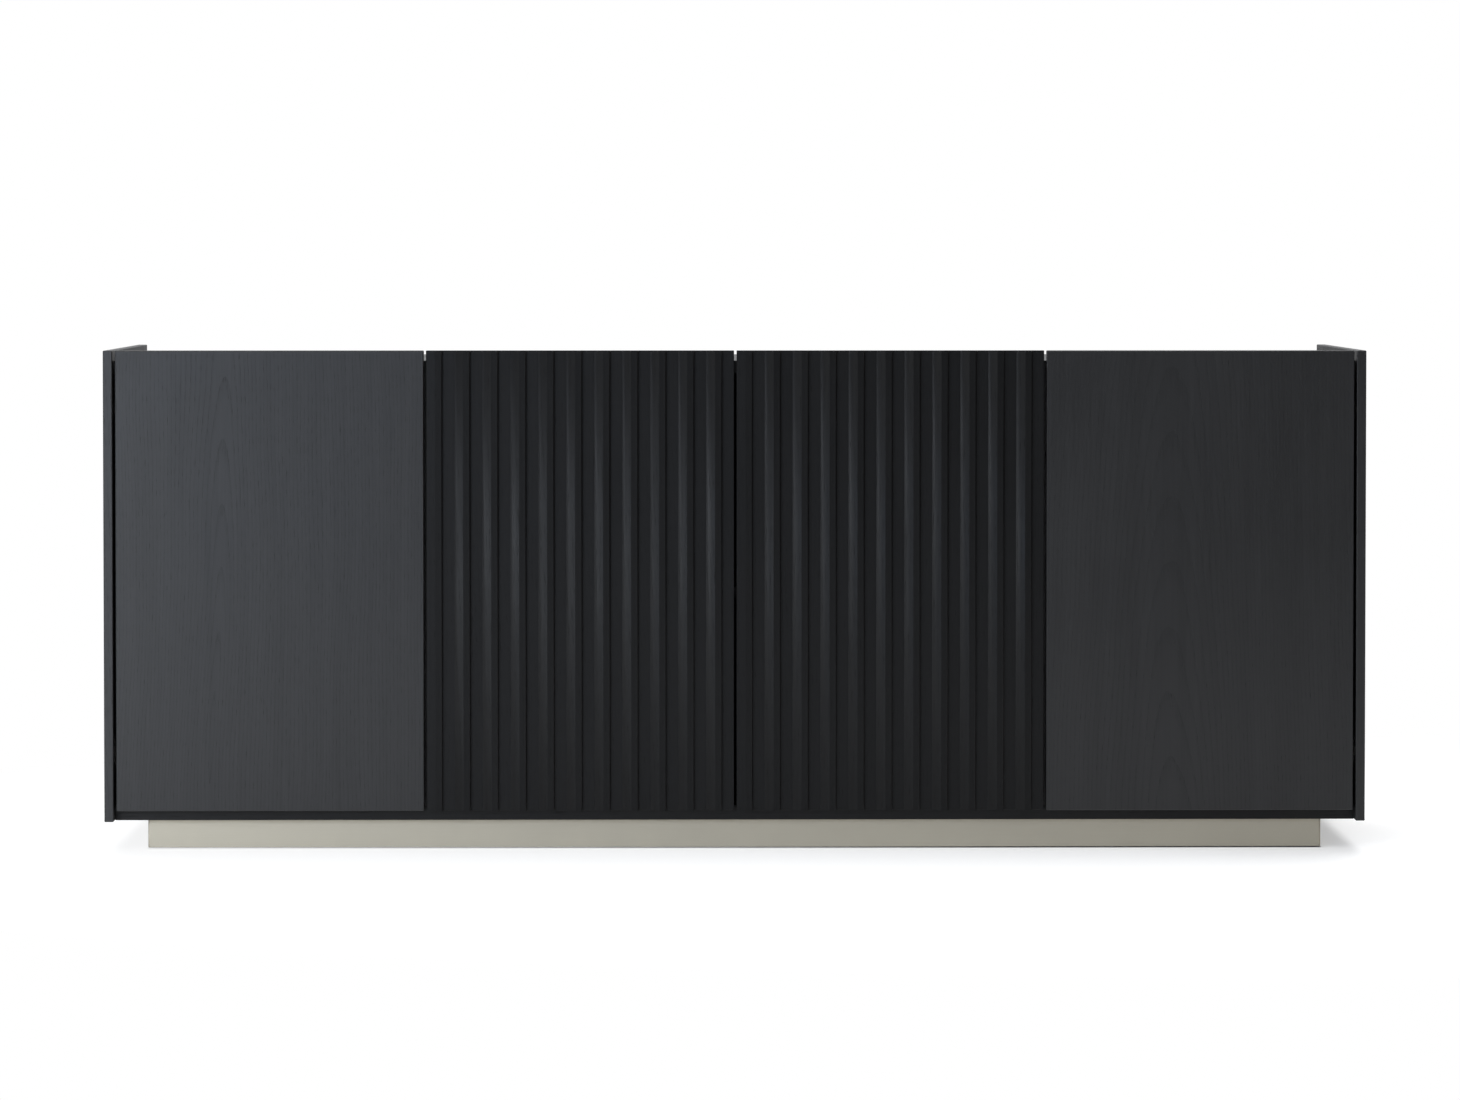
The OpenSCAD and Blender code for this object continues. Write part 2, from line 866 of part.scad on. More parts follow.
// Bumpers on the back of door i, near its free edge
module bumpers(i) {
    for (z = bumper_zs)
        translate([free_x(i) - inward(i) * bumper_inset, front_y + door_t, z])
            rod_y(bumper_r, 0, bumper_h);
}

module bumpers_left() {
    color(rubber) bumpers(0);
}

module bumpers_centre_left() {
    color(rubber) bumpers(1);
}

module bumpers_centre_right() {
    color(rubber) bumpers(2);
}

module bumpers_right() {
    color(rubber) bumpers(3);
}

side_panel_left();
side_panel_right();
top_panel();
bottom_panel();
partition_left();
partition_right();
back_panel_left();
back_panel_centre();
back_panel_right();
shelf_left();
shelf_centre();
shelf_right();
shelf_pins();
cam_bolts();
cam_locks();
dowels();
back_panel_screws();
plinth_rail_front();
plinth_rail_back();
plinth_rail_left();
plinth_rail_right();
plinth_cross_rails();
plinth_cover();
plinth_blocks();
plinth_screws();
leveller_stems();
leveller_pads();
hinge_plates();
hinge_plate_screws();
hinge_arms_outer();
hinge_arms_inner();
hinge_arm_screws();
door_left();
door_centre_left();
door_centre_right();
door_right();
slats_centre_left();
slats_centre_right();
hinge_cups_left();
hinge_cups_centre_left();
hinge_cups_centre_right();
hinge_cups_right();
hinge_pins_left();
hinge_pins_centre_left();
hinge_pins_centre_right();
hinge_pins_right();
cup_screws_left();
cup_screws_centre_left();
cup_screws_centre_right();
cup_screws_right();
bumpers_left();
bumpers_centre_left();
bumpers_centre_right();
bumpers_right();
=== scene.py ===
"""Looks of the four-door sideboard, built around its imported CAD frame.

Everything is in metres in the frame's own coordinates: X to the right along the front,
-Y the front, +Z up, with the floor at z = 0.
"""

import json
import math

import bmesh
import bpy
from mathutils import Matrix, Vector


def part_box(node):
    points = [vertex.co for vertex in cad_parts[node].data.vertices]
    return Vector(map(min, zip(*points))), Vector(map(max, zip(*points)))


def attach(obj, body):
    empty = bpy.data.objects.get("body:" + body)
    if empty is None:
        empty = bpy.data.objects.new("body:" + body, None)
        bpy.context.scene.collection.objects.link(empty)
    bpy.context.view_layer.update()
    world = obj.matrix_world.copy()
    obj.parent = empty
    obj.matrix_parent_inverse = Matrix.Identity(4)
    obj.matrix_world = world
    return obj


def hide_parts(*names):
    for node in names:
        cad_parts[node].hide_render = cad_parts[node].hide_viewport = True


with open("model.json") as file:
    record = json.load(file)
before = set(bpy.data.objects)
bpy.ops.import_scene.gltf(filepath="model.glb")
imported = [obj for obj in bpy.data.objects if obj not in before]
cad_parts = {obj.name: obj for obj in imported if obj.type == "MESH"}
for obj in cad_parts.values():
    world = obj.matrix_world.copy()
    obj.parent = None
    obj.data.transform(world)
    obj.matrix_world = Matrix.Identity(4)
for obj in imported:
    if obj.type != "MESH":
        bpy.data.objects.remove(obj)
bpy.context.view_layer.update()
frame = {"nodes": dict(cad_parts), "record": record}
nodes = frame["nodes"]
record = frame["record"]
slot_of = {row["node"]: row["material_slot"] for row in record["subparts"]}
body_of = {node: body for body, members in record["behaviour"]["bodies"].items()
           for node in members}

MM = 0.001
DOOR_NAMES = ("left", "centre_left", "centre_right", "right")
SLATS_PER_DOOR = 11

# ---------------------------------------------------------------- camera
FRONT_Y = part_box("door_left")[0].y
CAMERA_DISTANCE = 7.67         # from the front plane
CAMERA_X = -0.079
CAMERA_Z = 1.049
CAMERA_TILT = math.radians(-1.5)
CAMERA_TURN = math.radians(-0.52)
CAMERA_SENSOR = 36             # mm
CAMERA_LENS = 108.7            # mm
CAMERA_SHIFT_Y = -0.126
CAMERA_CLIP = (0.05, 200)


def make_camera():
    data = bpy.data.cameras.new("camera")
    data.sensor_width = CAMERA_SENSOR
    data.lens = CAMERA_LENS
    data.shift_y = CAMERA_SHIFT_Y
    data.clip_start, data.clip_end = CAMERA_CLIP
    camera = bpy.data.objects.new("camera", data)
    camera.location = (CAMERA_X, FRONT_Y - CAMERA_DISTANCE, CAMERA_Z)
    camera.rotation_euler = (math.pi / 2 + CAMERA_TILT, 0, CAMERA_TURN)
    bpy.context.scene.collection.objects.link(camera)
    bpy.context.scene.camera = camera


make_camera()


# ---------------------------------------------------------------- node helpers
class Graph:
    """A short way to wire a material's nodes. Sockets and plain numbers mix freely."""

    def __init__(self, name):
        self.material = bpy.data.materials.new(name)
        self.material.use_nodes = True
        self.tree = self.material.node_tree
        self.tree.nodes.clear()
        self.output = self.tree.nodes.new("ShaderNodeOutputMaterial")
        self.shader = self.tree.nodes.new("ShaderNodeBsdfPrincipled")
        self.tree.links.new(self.shader.outputs[0], self.output.inputs["Surface"])

    def node(self, kind, **settings):
        made = self.tree.nodes.new(kind)
        for key, value in settings.items():
            setattr(made, key, value)
        return made

    def feed(self, socket, value):
        if isinstance(value, bpy.types.NodeSocket):
            self.tree.links.new(value, socket)
        else:
            socket.default_value = value

    def math(self, operation, a, b=0.0):
        made = self.node("ShaderNodeMath", operation=operation)
        self.feed(made.inputs[0], a)
        self.feed(made.inputs[1], b)
        return made.outputs[0]

    def remap(self, value, low, high, to_low=0.0, to_high=1.0):
        made = self.node("ShaderNodeMapRange", clamp=True)
        for name, given in zip(("Value", "From Min", "From Max", "To Min", "To Max"),
                               (value, low, high, to_low, to_high)):
            self.feed(made.inputs[name], given)
        return made.outputs[0]

    def swing(self, noise, amount):
        """A noise moved from around a half to around zero, times an amount."""
        return self.math("MULTIPLY", self.math("SUBTRACT", noise, 0.5), amount)

    def place(self, vector, scale=(1, 1, 1), offset=(0, 0, 0), turn=(0, 0, 0)):
        made = self.node("ShaderNodeMapping")
        self.feed(made.inputs["Vector"], vector)
        made.inputs["Scale"].default_value = scale
        made.inputs["Location"].default_value = offset
        made.inputs["Rotation"].default_value = turn
        return made.outputs[0]

    def noise(self, vector, scale=1.0, detail=2.0, rough=0.5):
        made = self.node("ShaderNodeTexNoise")
        self.feed(made.inputs["Vector"], vector)
        made.inputs["Scale"].default_value = scale
        made.inputs["Detail"].default_value = detail
        made.inputs["Roughness"].default_value = rough
        return made.outputs["Fac"]

    def parts(self, vector):
        made = self.node("ShaderNodeSeparateXYZ")
        self.feed(made.inputs[0], vector)
        return made.outputs

    def vector(self, x, y, z):
        made = self.node("ShaderNodeCombineXYZ")
        for socket, value in zip(made.inputs, (x, y, z)):
            self.feed(socket, value)
        return made.outputs[0]

    def position(self):
        return self.node("ShaderNodeTexCoord").outputs["Object"]

    def edge(self, radius):
        """1 along sharp edges, 0 on flats."""
        bevel = self.node("ShaderNodeBevel", samples=4)
        bevel.inputs["Radius"].default_value = radius
        geometry = self.node("ShaderNodeNewGeometry")
        dot = self.node("ShaderNodeVectorMath", operation="DOT_PRODUCT")
        self.feed(dot.inputs[0], bevel.outputs[0])
        self.feed(dot.inputs[1], geometry.outputs["Normal"])
        return self.remap(dot.outputs["Value"], 0.99, 0.80)

    def set_colour(self, tone, value):
        """Base colour: a tone made lighter and darker by a value around 1."""
        colour = self.node("ShaderNodeVectorMath", operation="SCALE")
        colour.inputs[0].default_value = tone
        self.feed(colour.inputs["Scale"], value)
        self.feed(self.shader.inputs["Base Color"], colour.outputs[0])

    def set_roughness(self, value):
        self.feed(self.shader.inputs["Roughness"], value)

    def set_bump(self, height, distance):
        made = self.node("ShaderNodeBump")
        made.inputs["Distance"].default_value = distance
        self.feed(made.inputs["Height"], height)
        self.feed(self.shader.inputs["Normal"], made.outputs[0])


def grey(level):
    return (level, level, level, 1.0)


# ---------------------------------------------------------------- oak
GRAIN_UP = (0, 0, 0)
GRAIN_ALONG_X = (0, math.pi / 2, 0)
FIGURE_ON_SIDES = (0, 0, math.pi / 2)   # turns the figure onto faces that look along X

RING_WIDTH = 0.0062            # one year's growth
RING_DEPTH = 0.05              # from the heart of the log to the cut
RING_LEAN = 0.055              # how fast the cut leaves the heart with height
RING_DRIFT = 0.16              # slow sideways wander of the figure
RING_RIPPLE = 0.004            # small waves along a ring
SLAT_SHIFT = (0.731, 2.377)    # along X and Z, so that no two slats share their grain
WORN_WIDTH = 1.2 * MM
OAK_RELIEF = 0.09 * MM


def split_slats(g, spot, pitch, x0):
    """The spot shifted from slat to slat, and a brightness of each slat's own."""
    x, y, z = g.parts(spot)
    index = g.math("FLOOR", g.math("DIVIDE", g.math("SUBTRACT", x, x0), pitch))
    shift_x, shift_z = (g.math("MULTIPLY", index, shift) for shift in SLAT_SHIFT)
    spot = g.vector(g.math("ADD", x, shift_x), y, g.math("ADD", z, shift_z))
    slat = g.node("ShaderNodeTexWhiteNoise", noise_dimensions="1D")
    g.feed(slat.inputs["W"], index)
    return spot, g.remap(slat.outputs["Value"], 0, 1, 0.90, 1.10)


def growth_rings(g, spot):
    """1 in the open early wood, 0 elsewhere: long arches that lean over with height."""
    drift = g.noise(g.place(spot, scale=(1.6, 1.6, 0.55)), detail=3)
    x, y, z = g.parts(spot)
    across = g.math("ADD", x, g.swing(drift, RING_DRIFT))
    depth = g.math("ADD", g.math("MULTIPLY", z, RING_LEAN), g.math("ADD", y, RING_DEPTH))
    radius = g.math("SQRT", g.math("ADD", g.math("MULTIPLY", across, across),
                                   g.math("MULTIPLY", depth, depth)))
    ripple = g.noise(g.place(spot, scale=(30, 30, 2.2)), detail=2)
    radius = g.math("ADD", radius, g.math("MULTIPLY", ripple, RING_RIPPLE))
    year = g.math("FRACT", g.math("DIVIDE", radius, RING_WIDTH))
    return g.remap(year, 0.62, 0.98)


def oak(name, tone, seed=(0, 0, 0), turn=GRAIN_UP, rough=0.42, contrast=1.0,
        slat_pitch=None, slat_x0=0.0, edge_wear=0.35, shine=0.36):
    """Stained oak. The grain runs along Z before it is turned."""
    g = Graph(name)
    spot = g.position()
    if slat_pitch:
        spot, slat_tone = split_slats(g, spot, slat_pitch, slat_x0)
    spot = g.place(spot, offset=seed, turn=turn)

    early = growth_rings(g, spot)
    fibre = g.noise(g.place(spot, scale=(330, 330, 7)), detail=3, rough=0.65)
    streak = g.noise(g.place(spot, scale=(42, 42, 1.1)), detail=2)
    pore_noise = g.noise(g.place(spot, scale=(1500, 1500, 55)), detail=1.5, rough=0.4)
    pore_level = g.remap(early, 0, 1, 0.70, 0.56)
    pore = g.remap(g.math("SUBTRACT", pore_noise, pore_level), 0.0, 0.05)

    # Brightness, as a factor on the tone
    value = g.math("ADD", 1.0, g.swing(fibre, 0.42 * contrast))
    value = g.math("ADD", value, g.swing(streak, 0.36 * contrast))
    value = g.math("SUBTRACT", value, g.math("MULTIPLY", early, 0.14 * contrast))
    value = g.math("MULTIPLY", value, g.remap(pore, 0, 1, 1.0, 0.62))
    if slat_pitch:
        value = g.math("MULTIPLY", value, slat_tone)
    worn = g.math("MULTIPLY", g.edge(WORN_WIDTH),
                  g.remap(g.noise(spot, scale=45, detail=3), 0.35, 0.7, 0.3, 1.0))
    value = g.math("MULTIPLY", value,
                   g.math("ADD", 1.0, g.math("MULTIPLY", worn, edge_wear)))
    g.set_colour(tone, value)

    # Satin lacquer, duller in the pores and where it has been touched
    touch = g.noise(g.place(spot, scale=(6, 6, 4)), detail=3)
    gloss = g.math("ADD", g.remap(touch, 0.3, 0.7, rough - 0.04, rough + 0.05),
                   g.math("MULTIPLY", pore, 0.25))
    g.set_roughness(g.math("ADD", gloss, g.swing(fibre, 0.10)))
    relief = g.math("ADD", g.math("MULTIPLY", fibre, 0.35),
                    g.math("ADD", g.math("MULTIPLY", pore, -1.0),
                           g.math("MULTIPLY", early, -0.25)))
    g.set_bump(relief, OAK_RELIEF)
    g.shader.inputs["IOR"].default_value = 1.5
    g.shader.inputs["Specular IOR Level"].default_value = shine
    return g.material


# ---------------------------------------------------------------- other materials
METAL_RELIEF = 0.01 * MM
SKIN_RELIEF = 0.05 * MM


def metal(name, tone, rough, lines_scale=(220, 220, 220), grain=0.08):
    """Satin metal. Its lines are finest along the axis with the largest scale."""
    g = Graph(name)
    spot = g.position()
    lines = g.noise(g.place(spot, scale=lines_scale), detail=4, rough=0.7)
    cloud = g.noise(spot, scale=9, detail=3)
    value = g.math("ADD", 1.0 - grain, g.math("MULTIPLY", lines, 2 * grain))
    g.set_colour(tone, g.math("MULTIPLY", value, g.remap(cloud, 0.3, 0.7, 0.97, 1.03)))
    gloss = g.remap(lines, 0.3, 0.7, rough - 0.07, rough + 0.07)
    g.set_roughness(g.math("ADD", gloss, g.swing(cloud, 0.1)))
    g.set_bump(lines, METAL_RELIEF)
    g.shader.inputs["Metallic"].default_value = 1.0
    return g.material


def moulded(name, tone, rough, skin_scale=900):
    """Rubber, plastic or fibreboard with a fine skin texture."""
    g = Graph(name)
    spot = g.position()
    skin = g.noise(spot, scale=skin_scale, detail=3, rough=0.6)
    cloud = g.noise(spot, scale=14, detail=3)
    g.set_colour(tone, g.math("MULTIPLY", g.remap(skin, 0.3, 0.7, 0.88, 1.12),
                              g.remap(cloud, 0.3, 0.7, 0.93, 1.07)))
    g.set_roughness(g.remap(skin, 0.3, 0.7, rough - 0.06, rough + 0.06))
    g.set_bump(skin, SKIN_RELIEF)
    return g.material


# ---------------------------------------------------------------- materials of the nodes
# Tones are linear RGB
PLAIN = (0.0090, 0.0090, 0.0095)
# the stained oak made darker still: its own dark stain plus painted shade, used for the slatted
# fronts and the bottom panel's edge
SHADE_DARKENED_OAK = (0.0026, 0.0026, 0.0028)
INNER = (0.026, 0.026, 0.027)

FRONTS = {
    "door_left": oak("oak_door_left", PLAIN, seed=(0.90, 0.20, -0.2), contrast=2.2),
    "door_right": oak("oak_door_right", PLAIN, seed=(-0.76, 0.21, 1.3), contrast=1.7),
}
# the slatted fronts take the darker oak: painted shade in and between the slats, on top of the
# dark stain
for side in ("left", "right"):
    door_low, door_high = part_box("door_centre_" + side)
    FRONTS["door_centre_" + side] = FRONTS["slats_centre_" + side] = oak(
        "oak_slatted_" + side, SHADE_DARKENED_OAK, seed=(0.2, 0.2, 3.1), rough=0.45, shine=0.165,
        slat_pitch=(door_high.x - door_low.x) / SLATS_PER_DOOR, slat_x0=door_low.x)
SIDES = oak("oak_sides", PLAIN, seed=(0.3, 0.1, 0.4), turn=FIGURE_ON_SIDES)
TOP = oak("oak_top", PLAIN, seed=(0.1, 0.35, 0.2), turn=GRAIN_ALONG_X)
# the bottom panel takes the darker oak: painted shade on its front edge under the doors' overhang
BOTTOM = oak("oak_bottom", SHADE_DARKENED_OAK, seed=(0.4, 0.15, 0.9), turn=GRAIN_ALONG_X, shine=0.2)
INSIDE = oak("oak_inner", INNER, seed=(0.7, 0.4, 0.6), turn=FIGURE_ON_SIDES, rough=0.5)
SHELVES = oak("oak_shelves", INNER, seed=(0.5, 0.9, 0.1), turn=GRAIN_ALONG_X, rough=0.5)
BY_SLOT = {
    "back_board": moulded("black_fibreboard", (0.012, 0.012, 0.013), 0.6, skin_scale=700),
    "plinth_metal": metal("plinth_steel", (0.415, 0.386, 0.318), 0.58,
                          lines_scale=(5, 5, 2600), grain=0.05),
    "nickel": metal("nickel_plate", (0.60, 0.58, 0.55), 0.24),
    "zinc": metal("zinc_plate", (0.46, 0.47, 0.49), 0.36, lines_scale=(500, 500, 500),
                  grain=0.12),
    "beech": oak("beech", (0.42, 0.27, 0.15), rough=0.6, contrast=0.5, edge_wear=0),
    "rubber": moulded("soft_rubber", (0.012, 0.012, 0.012), 0.72),
    "black_plastic": moulded("black_plastic", (0.018, 0.018, 0.018), 0.5),
}


def material_for(name):
    if name in FRONTS:
        return FRONTS[name]
    if name.startswith("side_panel"):
        return SIDES
    if name == "top_panel":
        return TOP
    if name == "bottom_panel":
        return BOTTOM
    if name.startswith("partition"):
        return INSIDE
    if name.startswith("shelf_") and name != "shelf_pins":
        return SHELVES
    return BY_SLOT[slot_of[name]]


# ---------------------------------------------------------------- CAD nodes that stay
SAME_POINT = 0.02 * MM         # points of a CAD mesh closer than this are one point
ROUNDING = {                   # edge rounding by the start of a node's name
    ("door_", "side_panel"): 0.7 * MM,
    ("slats_", "top_panel", "bottom_panel", "shelf_l", "shelf_c", "shelf_r", "partition",
     "plinth_cover"): 0.4 * MM,
    ("hinge_cups", "hinge_plates", "plinth_rail"): 0.25 * MM,
}


def soften(obj, width):
    """Rounds a CAD node's sharp edges a little, with modifiers only."""
    weld = obj.modifiers.new("weld", "WELD")
    weld.merge_threshold = SAME_POINT
    bevel = obj.modifiers.new("round", "BEVEL")
    bevel.width = width
    bevel.segments = 2
    bevel.limit_method = "ANGLE"
    bevel.angle_limit = math.radians(28)
    bevel.harden_normals = True
    bevel.use_clamp_overlap = True


def dress(name, obj):
    """Gives a CAD node its material and its rounded edges."""
    if not obj.material_slots:
        obj.data.materials.append(None)
    for slot in obj.material_slots:
        slot.material = material_for(name)
    for starts, width in ROUNDING.items():
        if name.startswith(starts):
            soften(obj, width)


for name, obj in nodes.items():
    dress(name, obj)


# ---------------------------------------------------------------- detailed fittings
X_AXIS, Y_AXIS, Z_AXIS = 0, 1, 2
TURNED_SIDES = 32
ON_END = 0.05 * MM             # points this close to an end or a rim belong to it


def islands(obj):
    """The separate solids of a CAD node, each as a list of its points."""
    bm = bmesh.new()
    bm.from_mesh(obj.data)
    bmesh.ops.remove_doubles(bm, verts=bm.verts, dist=SAME_POINT)
    bm.verts.ensure_lookup_table()
    bm.verts.index_update()
    found = set()
    solids = []
    for first in bm.verts:
        if first.index in found:
            continue
        found.add(first.index)
        stack, points = [first], []
        while stack:
            vert = stack.pop()
            points.append(vert.co.copy())
            for edge in vert.link_edges:
                other = edge.other_vert(vert)
                if other.index not in found:
                    found.add(other.index)
                    stack.append(other)
        solids.append(points)
    bm.free()
    return solids


class Turned:
    """Where a turned CAD solid lies: its axis, its wider end and its sizes."""

    def __init__(self, points, axis):
        across = [i for i in range(3) if i != axis]
        low = [min(p[i] for p in points) for i in range(3)]
        high = [max(p[i] for p in points) for i in range(3)]
        middle = [(low[i] + high[i]) / 2 for i in range(3)]

        def radius(p):
            return math.hypot(*(p[i] - middle[i] for i in across))

        near = [p for p in points if abs(p[axis] - low[axis]) < ON_END]
        far = [p for p in points if abs(p[axis] - high[axis]) < ON_END]
        r_near, r_far = (max(radius(p) for p in end) for end in (near, far))
        sign = 1 if r_far >= r_near else -1
        outer = high[axis] if sign > 0 else low[axis]
        self.head_r = max(r_near, r_far)
        self.shank_r = min(r_near, r_far)
        self.head_h = max(abs(p[axis] - outer) for p in points
                          if radius(p) > self.head_r - ON_END)
        self.length = high[axis] - low[axis] - self.head_h
        self.direction = Vector([sign if i == axis else 0 for i in range(3)])
        self.base = Vector(middle)
        self.base[axis] = outer - sign * self.head_h

    def flip(self):
        """Turns a plain cylinder end for end."""
        self.base += self.direction * self.head_h
        self.direction = -self.direction


def turn_profile(bm, profile):
    """A ring of vertices for each (radius, height) of a profile, joined from first to last."""
    rings = []
    for radius, height in profile:
        if radius == 0:
            rings.append([bm.verts.new((0, 0, height))] * TURNED_SIDES)
            continue
        rings.append([bm.verts.new((radius * math.cos(a), radius * math.sin(a), height))
                      for a in (2 * math.pi * k / TURNED_SIDES for k in range(TURNED_SIDES))])
    for lower, upper in zip(rings, rings[1:]):
        for k in range(TURNED_SIDES):
            corners = [lower[k - 1], lower[k], upper[k], upper[k - 1]]
            bm.faces.new(sorted(set(corners), key=corners.index))
    return rings[-1]


def close_with_cross(bm, rim, height, arm, half, depth):
    """Fills a rim with a flat that has a tapered cross recess in it.

    arm is the recess's reach from its centre, half its half width.
    """
    taper = 0.55
    outline = [(half, half), (half, arm), (-half, arm), (-half, half), (-arm, half),
               (-arm, -half), (-half, -half), (-half, -arm), (half, -arm), (half, -half),
               (arm, -half), (arm, half)]
    top = [bm.verts.new((x, y, height)) for x, y in outline]
    floor = [bm.verts.new((x * taper, y * taper, height - depth)) for x, y in outline]
    edges = [bm.edges.new((top[k - 1], top[k])) for k in range(len(top))]
    edges += [bm.edges.get((rim[k - 1], rim[k])) for k in range(len(rim))]
    bmesh.ops.triangle_fill(bm, edges=edges, use_beauty=True, use_dissolve=False)
    for k in range(len(top)):
        bm.faces.new((top[k - 1], top[k], floor[k], floor[k - 1]))
    bm.faces.new(floor)


def screw(bm, at):
    """Pan head with a rolled rim and a cross recess, on a plain shank."""
    r, h = at.head_r, at.head_h
    flat_r = 0.62 * r
    steps = 4
    roll = [(r - (r - flat_r) * k / steps, 0.55 * h + 0.45 * h * math.sin(math.pi / 2 * k / steps))
            for k in range(steps + 1)]
    rim = turn_profile(bm, [
        (0, -at.length), (at.shank_r * 0.7, -at.length), (at.shank_r, -at.length * 0.85),
        (at.shank_r, 0), (r * 0.97, 0), (r, 0.12 * h)] + roll)
    close_with_cross(bm, rim, h, arm=0.50 * r, half=0.11 * r, depth=0.7 * h)


def cam(bm, at):
    """Cam lock with a sunk face, a raised rim and a cross recess."""
    r, h = at.head_r, at.head_h
    chamfer, rim_width, sunk = 0.3 * MM, 1.0 * MM, 0.5 * MM
    rim = turn_profile(bm, [
        (0, 0), (r, 0), (r, h - chamfer), (r - chamfer, h), (r - rim_width, h),
        (r - rim_width - chamfer, h - sunk)])
    close_with_cross(bm, rim, h - sunk, arm=0.55 * r, half=0.12 * r, depth=2.2 * MM)


def bumper(bm, at):
    """Self-adhesive bumper with a domed nose."""
    r, h = at.head_r, at.head_h
    steps = 8
    dome = [(r * math.cos(a), 0.35 * h + 0.65 * h * math.sin(a))
            for a in (math.pi / 2 * k / steps for k in range(steps))]
    turn_profile(bm, [(0, 0), (r * 0.96, 0), (r, 0.08 * h)] + dome + [(0, h)])


def pad(bm, at):
    """Leveller foot with a chamfered sole and a socket for its stem."""
    r, h = at.head_r, at.head_h
    turn_profile(bm, [(0, 0), (0.90 * r, 0), (r, 0.16 * h), (r, 0.42 * h), (0.93 * r, 0.55 * h),
                      (0.60 * r, 0.68 * h), (0.56 * r, h), (0, h)])


def detailed(node, make, axis, faces_away=None):
    """One piece that stands for a CAD node, with make's shape in place of every solid."""
    whole = bmesh.new()
    for points in islands(nodes[node]):
        at = Turned(points, axis(points) if callable(axis) else axis)
        if faces_away and faces_away(at):
            at.flip()
        one = bmesh.new()
        make(one, at)
        bmesh.ops.recalc_face_normals(one, faces=one.faces)
        turn = at.direction.to_track_quat("Z", "Y").to_matrix().to_4x4()
        one.transform(Matrix.Translation(at.base) @ turn)
        part = bpy.data.meshes.new("part")
        one.to_mesh(part)
        one.free()
        whole.from_mesh(part)
        bpy.data.meshes.remove(part)
    mesh = bpy.data.meshes.new(node + "_detailed")
    whole.to_mesh(mesh)
    whole.free()
    mesh.shade_smooth()
    mesh.set_sharp_from_angle(angle=math.radians(35))
    mesh.materials.append(material_for(node))
    piece = bpy.data.objects.new(node + "_detailed", mesh)
    bpy.context.scene.collection.objects.link(piece)
    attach(piece, body_of[node])
    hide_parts(node)


def thin_axis(points):
    """The axis of a cam, which is shorter than it is wide."""
    return min(range(3), key=lambda i: max(p[i] for p in points) - min(p[i] for p in points))


def cam_faces_away(at):
    """True when a cam's face lies at its inner end: cams open downwards or out of a wall."""
    if at.direction.z:
        return at.direction.z > 0
    wall = "partition_left" if at.base.x < 0 else "partition_right"
    low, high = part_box(wall)
    face = at.base + at.direction * at.head_h
    return min(abs(face.x - low.x), abs(face.x - high.x)) > MM


for name in ("hinge_plate_screws", "hinge_arm_screws"):
    detailed(name, screw, X_AXIS)
detailed("back_panel_screws", screw, Y_AXIS)
detailed("plinth_screws", screw, Z_AXIS)
detailed("cam_locks", cam, thin_axis, faces_away=cam_faces_away)
detailed("leveller_pads", pad, Z_AXIS)
for door in DOOR_NAMES:
    detailed("cup_screws_" + door, screw, Y_AXIS)
    detailed("bumpers_" + door, bumper, Y_AXIS)


# ---------------------------------------------------------------- studio
FLOOR_REACH = 60
FLOOR_ALBEDO = 0.86
FLOOR_MOTTLE = 0.01            # how much the floor's albedo varies to either side
FLOOR_ROUGHNESS = 0.8
FLOOR_X_SCALE = 0.55           # distances on the floor count for less along x
FLOOR_GLOW = 0.48              # painted light: a glow given off by the floor itself near the object, with no lamp
GLOW_CENTRE = (-0.6, -0.6)     # to the left and in front of the object, so the painted glow is stronger on the left than on the right
GLOW_FROM = 0.8                # where the glow starts to fade, from its centre
GLOW_TO = 2.2                  # and where it ends
GLOW_EDGE = 0.003              # width of the painted shade rim at the foot of the plinth, where the floor's glow stops
WHITE_CENTRE = (0.9, 0)        # the camera sees the floor painted white away from here, over its shading; near here its shade still shows
WHITE_FROM = 0.3
WHITE_TO = 1.6
SURROUND_COLOUR = (0.97, 0.98, 1.0, 1.0)
SURROUND_FRONT = 0.10          # brightness of the studio around the object, before it
SURROUND_BACK = 0.75           # and behind it
COOL = (0.67, 0.79, 1.0)
PALE_BLUE = (0.83, 0.89, 1.0)
NEAR_WHITE = (0.90, 0.95, 1.0)
WHITE = (1, 1, 1)


def add_area(name, size, location, target, power, colour):
    data = bpy.data.lights.new(name, "AREA")
    data.shape = "RECTANGLE"
    data.size, data.size_y = size
    data.energy = power
    data.color = colour
    lamp = bpy.data.objects.new(name, data)
    lamp.location = location
    lamp.visible_camera = False
    direction = Vector(target) - Vector(location)
    lamp.rotation_euler = direction.to_track_quat("-Z", "Y").to_euler()
    bpy.context.scene.collection.objects.link(lamp)


def camera_only(tree, unseen, seen, amount=None):
    """A shader that is seen by the camera and unseen by everything else."""
    mix = tree.nodes.new("ShaderNodeMixShader")
    factor = tree.nodes.new("ShaderNodeLightPath").outputs["Is Camera Ray"]
    if amount is not None:
        both = tree.nodes.new("ShaderNodeMath")
        both.operation = "MULTIPLY"
        tree.links.new(factor, both.inputs[0])
        tree.links.new(amount, both.inputs[1])
        factor = both.outputs[0]
    tree.links.new(factor, mix.inputs[0])
    tree.links.new(unseen, mix.inputs[1])
    tree.links.new(seen, mix.inputs[2])
    return mix.outputs[0]


def floor_distance(g, spot, centre):
    """Distance on the floor from a centre."""
    length = g.node("ShaderNodeVectorMath", operation="LENGTH")
    x, y = centre
    g.feed(length.inputs[0], g.place(spot, scale=(FLOOR_X_SCALE, 1, 1),
                                     offset=(-FLOOR_X_SCALE * x, -y, 0)))
    return length.outputs["Value"]


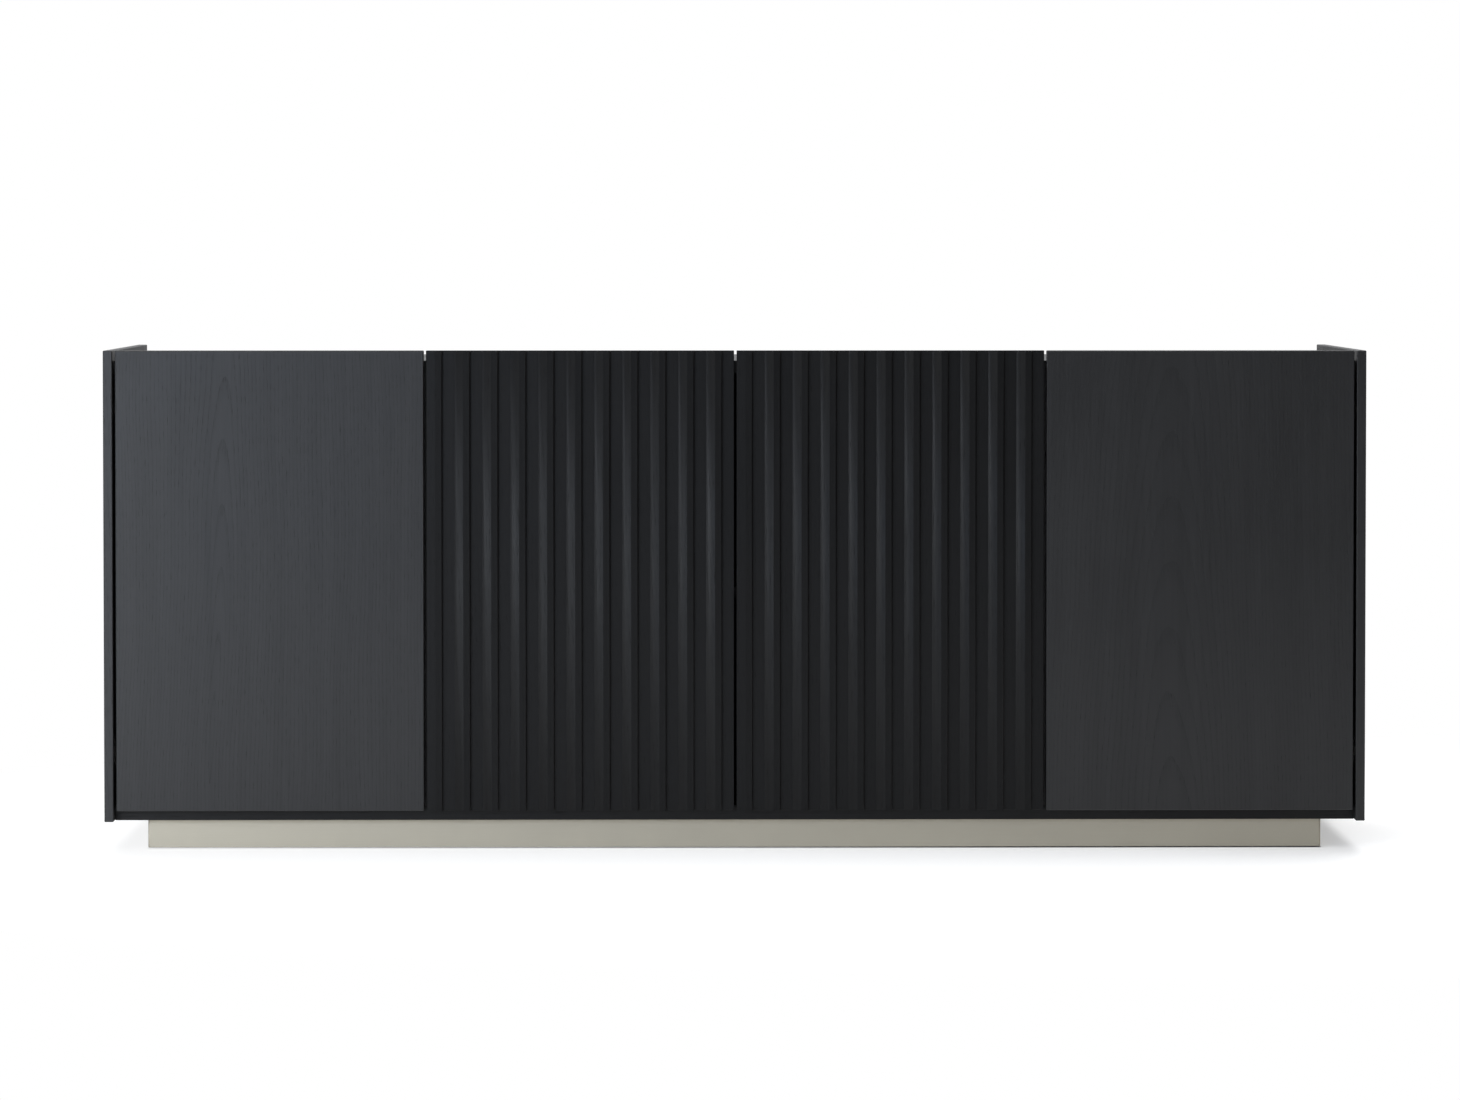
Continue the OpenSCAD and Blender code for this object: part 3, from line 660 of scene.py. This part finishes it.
def outside_plinth(g, spot):
    """0 under the plinth, 1 outside it: where the floor's glow stops, a painted shade line lies at
    the plinth's foot.
    """
    x, y, z = g.parts(spot)
    low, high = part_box("plinth_cover")
    past_sides = g.math("SUBTRACT", g.math("ABSOLUTE", x), high.x)
    past_front = g.math("SUBTRACT", g.math("ABSOLUTE", g.math(
        "SUBTRACT", y, (low.y + high.y) / 2)), (high.y - low.y) / 2)
    return g.remap(g.math("MAXIMUM", past_sides, past_front), 0.0, GLOW_EDGE)


def floor_material():
    g = Graph("studio_floor")
    spot = g.position()
    mottle = g.node("ShaderNodeMix", data_type="RGBA")
    colour_a, colour_b, mixed = mottle.inputs[6], mottle.inputs[7], mottle.outputs[2]
    g.feed(mottle.inputs["Factor"], g.noise(spot, scale=60, detail=3))
    g.feed(colour_a, grey(FLOOR_ALBEDO - FLOOR_MOTTLE))
    g.feed(colour_b, grey(FLOOR_ALBEDO + FLOOR_MOTTLE))
    g.feed(g.shader.inputs["Base Color"], mixed)
    g.shader.inputs["Roughness"].default_value = FLOOR_ROUGHNESS

    # painted light: the floor glows near the object, but not under the plinth
    glow = g.remap(floor_distance(g, spot, GLOW_CENTRE), GLOW_FROM, GLOW_TO, FLOOR_GLOW, 0.0)
    g.shader.inputs["Emission Color"].default_value = grey(1)
    g.feed(g.shader.inputs["Emission Strength"],
           g.math("MULTIPLY", outside_plinth(g, spot), glow))
    # painted light for the camera only: white laid over the floor's shading away from WHITE_CENTRE
    fade = g.remap(floor_distance(g, spot, WHITE_CENTRE), WHITE_FROM, WHITE_TO)
    white = g.node("ShaderNodeEmission")
    g.feed(g.output.inputs["Surface"],
           camera_only(g.tree, g.shader.outputs[0], white.outputs[0], fade))
    return g.material


def studio_floor():
    r = FLOOR_REACH
    mesh = bpy.data.meshes.new("floor")
    mesh.from_pydata([(-r, -r, 0), (r, -r, 0), (r, r, 0), (-r, r, 0)], [], [(0, 1, 2, 3)])
    mesh.materials.append(floor_material())
    floor = bpy.data.objects.new("floor", mesh)
    bpy.context.scene.collection.objects.link(floor)


def studio_world():
    """White for the camera. For everything else dim in front and brighter behind."""
    world = bpy.data.worlds.new("studio")
    bpy.context.scene.world = world
    world.use_nodes = True
    tree = world.node_tree
    tree.nodes.clear()
    out = tree.nodes.new("ShaderNodeOutputWorld")
    seen = tree.nodes.new("ShaderNodeBackground")
    seen.inputs["Color"].default_value = grey(1)
    lit = tree.nodes.new("ShaderNodeBackground")
    lit.inputs["Color"].default_value = SURROUND_COLOUR
    direction = tree.nodes.new("ShaderNodeTexCoord").outputs["Generated"]
    parts = tree.nodes.new("ShaderNodeSeparateXYZ")
    tree.links.new(direction, parts.inputs[0])
    ramp = tree.nodes.new("ShaderNodeMapRange")
    tree.links.new(parts.outputs["Y"], ramp.inputs["Value"])
    ramp.inputs["From Min"].default_value = -0.4
    ramp.inputs["From Max"].default_value = 0.7
    ramp.inputs["To Min"].default_value = SURROUND_FRONT
    ramp.inputs["To Max"].default_value = SURROUND_BACK
    tree.links.new(ramp.outputs[0], lit.inputs["Strength"])
    tree.links.new(camera_only(tree, lit.outputs[0], seen.outputs[0]), out.inputs["Surface"])


def studio_lights():
    """Name, size, place, target, power in watts and colour of each lamp."""
    add_area("key_left", (1.2, 1.2), (-2.1, -6.5, 1.75), (-0.9, 0, 0.6), 70, COOL)
    add_area("low_left", (0.7, 1.2), (-2.1, -2.5, 0.62), (0, -0.25, 0.45), 23, NEAR_WHITE)
    add_area("side_left", (1.4, 1.4), (-3.9, -3.0, 1.2), (0, -0.25, 0.4), 66, PALE_BLUE)
    add_area("fill_front", (5.5, 2.2), (0, -3.0, 3.4), (0, -0.3, 0), 58, WHITE)
    add_area("fill_top", (5.0, 3.0), (0, 1.2, 3.4), (0, 0.4, 0), 160, WHITE)


def plain_colours():
    """Shows the light as it is, with no film look."""
    view = bpy.context.scene.view_settings
    view.view_transform = "Standard"
    view.look = "None"
    view.exposure = 0.0


studio_floor()
studio_world()
studio_lights()
plain_colours()
